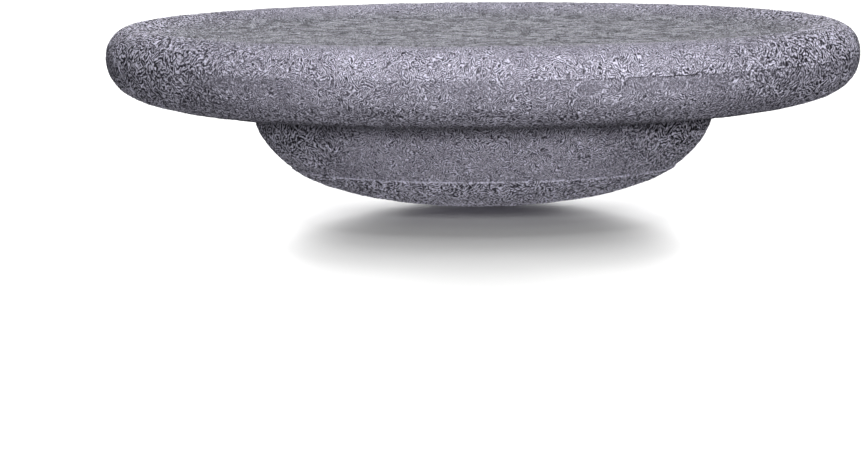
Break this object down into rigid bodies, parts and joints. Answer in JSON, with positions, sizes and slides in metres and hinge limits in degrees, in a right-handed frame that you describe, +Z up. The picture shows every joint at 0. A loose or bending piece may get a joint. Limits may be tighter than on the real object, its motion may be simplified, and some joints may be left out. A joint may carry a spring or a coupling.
{
  "type": "balance dome trainer",
  "caption": "Round rocker board in grey moulded bead foam: thick rounded rim, shallow standing dish, and a shallow dome under it that rocks on the floor.",
  "frame": {"origin": "the lowest point of the sole, where the board touches a level floor, on the axis of revolution", "axes": "+Z up along the axis of revolution, out of the standing dish; X and Y level, and any direction about Z is alike"},
  "size_m": [0.3799, 0.38, 0.0913],
  "materials": {
    "deck_foam": "matte",
    "underdeck_foam": "matte",
    "dome_foam": "matte",
    "sole_foam": "matte",
    "adhesive": "matte"
  },
  "bodies": {
    "root": {"deck_upper_shell": "deck_foam", "deck_lower_shell": "underdeck_foam", "rocker_dome": "dome_foam", "sole_cap": "sole_foam", "rim_seam_adhesive": "adhesive", "deck_core_adhesive": "adhesive", "dome_shoulder_adhesive": "adhesive", "sole_adhesive": "adhesive"}
  },
  "joints": []
}
